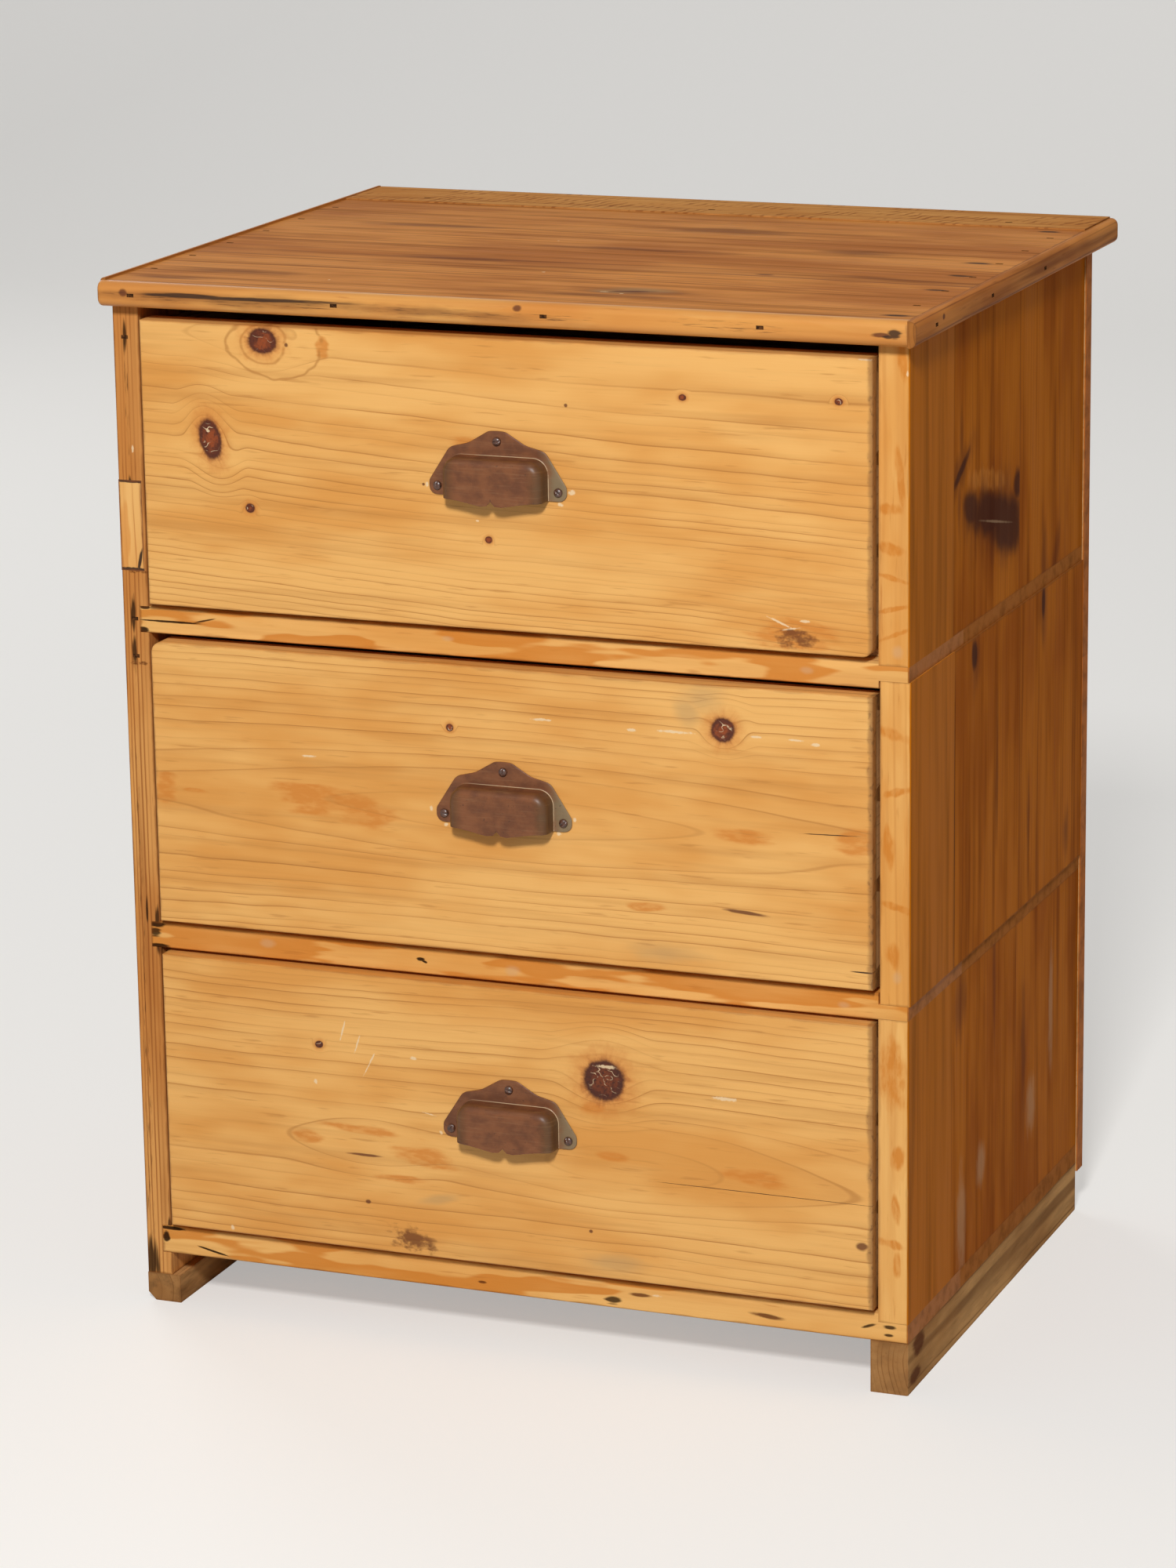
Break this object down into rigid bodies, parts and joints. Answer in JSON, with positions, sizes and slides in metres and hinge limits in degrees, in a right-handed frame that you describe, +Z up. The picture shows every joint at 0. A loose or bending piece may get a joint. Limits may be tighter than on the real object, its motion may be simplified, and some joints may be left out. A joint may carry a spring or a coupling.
{
  "type": "chest of drawers",
  "caption": "Small pine chest with a stack of lapped-dovetail drawers on pressed cup pulls, a planked back, a top with rounded lippings and two low floor runners.",
  "frame": {"origin": "on the floor, under the middle of the bounding box", "axes": "+Z up, the drawer fronts face -Y, +X towards the side with stacked sections"},
  "size_m": [0.596, 0.489, 0.7545],
  "materials": {
    "top_pine": "old pine, dark honey stain with black rubbed marks, satin wax",
    "drawer_pine": "pale honey pine with knots, waxed and scratched",
    "carcass_pine": "amber pine, waxed",
    "runner_pine": "weathered bare pine with dirty end grain",
    "raw_pine": "bare sawn pine, aged",
    "handle_metal": "dark brown bronzed sheet, worn greenish grey on the edges",
    "screw_steel": "tarnished slotted round heads",
    "nail_iron": "rusted cut nails"
  },
  "bodies": {
    "carcass": {"top_board": "top_pine", "top_rear_strip": "top_pine", "front_nosing": "top_pine", "left_nosing": "top_pine", "right_nosing": "top_pine", "left_side_front": "carcass_pine", "right_upper_front": "carcass_pine", "right_middle_front": "carcass_pine", "right_lower_front": "carcass_pine", "left_side_middle": "carcass_pine", "right_upper_middle": "carcass_pine", "right_middle_middle": "carcass_pine", "right_lower_middle": "carcass_pine", "left_side_rear": "carcass_pine", "right_upper_rear": "carcass_pine", "right_middle_rear": "carcass_pine", "right_lower_rear": "carcass_pine", "left_edge_patch": "carcass_pine", "bottom_rail_board": "carcass_pine", "bottom_dust_board": "raw_pine", "lower_rail_board": "carcass_pine", "lower_dust_board": "raw_pine", "upper_rail_board": "carcass_pine", "upper_dust_board": "raw_pine", "left_runner": "runner_pine", "right_runner": "runner_pine", "back_plank_1": "raw_pine", "back_plank_2": "raw_pine", "back_plank_3": "raw_pine", "back_plank_4": "raw_pine", "back_plank_5": "raw_pine", "back_plank_6": "raw_pine", "back_plank_7": "raw_pine", "back_plank_8": "raw_pine", "top_nails": "nail_iron", "nosing_nails": "nail_iron", "side_nails": "nail_iron", "back_nails": "nail_iron"},
    "upper_drawer": {"upper_drawer_front": "drawer_pine", "upper_drawer_left_side": "raw_pine", "upper_drawer_right_side": "raw_pine", "upper_drawer_back": "raw_pine", "upper_drawer_bottom": "raw_pine", "upper_drawer_handle": "handle_metal", "upper_drawer_handle_screws": "screw_steel"},
    "middle_drawer": {"middle_drawer_front": "drawer_pine", "middle_drawer_left_side": "raw_pine", "middle_drawer_right_side": "raw_pine", "middle_drawer_back": "raw_pine", "middle_drawer_bottom": "raw_pine", "middle_drawer_handle": "handle_metal", "middle_drawer_handle_screws": "screw_steel"},
    "lower_drawer": {"lower_drawer_front": "drawer_pine", "lower_drawer_left_side": "raw_pine", "lower_drawer_right_side": "raw_pine", "lower_drawer_back": "raw_pine", "lower_drawer_bottom": "raw_pine", "lower_drawer_handle": "handle_metal", "lower_drawer_handle_screws": "screw_steel"}
  },
  "joints": [
    {"name": "upper_drawer_slide", "type": "slide", "parent": "carcass", "child": "upper_drawer", "axis": [0, -1, 0], "range_m": [0, 0.36]},
    {"name": "middle_drawer_slide", "type": "slide", "parent": "carcass", "child": "middle_drawer", "axis": [0, -1, 0], "range_m": [0, 0.36]},
    {"name": "lower_drawer_slide", "type": "slide", "parent": "carcass", "child": "lower_drawer", "axis": [0, -1, 0], "range_m": [0, 0.36]}
  ]
}
